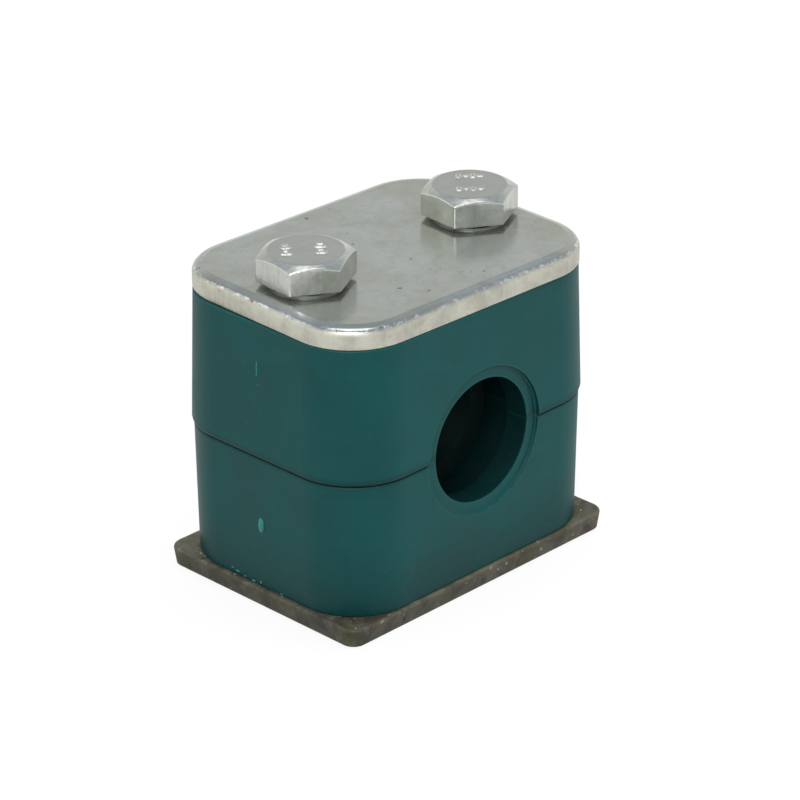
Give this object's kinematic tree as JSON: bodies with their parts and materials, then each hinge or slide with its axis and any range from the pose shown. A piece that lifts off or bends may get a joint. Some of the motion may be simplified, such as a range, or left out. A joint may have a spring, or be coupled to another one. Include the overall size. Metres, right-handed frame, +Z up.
{
  "type": "hydraulic tube clamp",
  "caption": "Tube clamp for hydraulic lines: ribbed plastic jaws between a weld plate and a cover plate, closed by hexagon bolts.",
  "frame": {"origin": "centre of the weld plate's underside", "axes": "+Z up along the bolts, +X from the left bolt to the right bolt, +Y along the tube bore"},
  "size_m": [0.0416, 0.0306, 0.0411],
  "materials": {
    "plate_steel": "bare mill-scaled steel, dark, with light rust specks",
    "bush_steel": "turned bright steel",
    "jaw_plastic": "dark green moulded polypropylene, satin",
    "cover_zinc": "zinc plated sheet steel with fine scratches",
    "bolt_zinc": "zinc plated forged steel"
  },
  "bodies": {
    "base": {"weld_plate": "plate_steel", "thread_bush_left": "bush_steel", "thread_bush_right": "bush_steel", "lower_jaw": "jaw_plastic"},
    "top": {"upper_jaw": "jaw_plastic", "cover_plate": "cover_zinc"},
    "bolt_left": {"bolt_left": "bolt_zinc"},
    "bolt_right": {"bolt_right": "bolt_zinc"}
  },
  "joints": [
    {"name": "jaw_open", "type": "slide", "parent": "base", "child": "top", "axis": [0, 0, 1], "range_m": [0, 0.025]},
    {"name": "bolt_left_turn", "type": "hinge", "parent": "top", "child": "bolt_left", "pos_m": [-0.0125, 0, 0.03], "axis": [0, 0, 1], "range_deg": [0, 9000]},
    {"name": "bolt_right_turn", "type": "hinge", "parent": "top", "child": "bolt_right", "pos_m": [0.0133, 0, 0.03], "axis": [0, 0, 1], "range_deg": [0, 9000]}
  ],
  "couplings": [
    {"joint": "bolt_left_turn", "follows": "jaw_open", "rad_per_m": 6283.2},
    {"joint": "bolt_right_turn", "follows": "jaw_open", "rad_per_m": 6283.2}
  ]
}
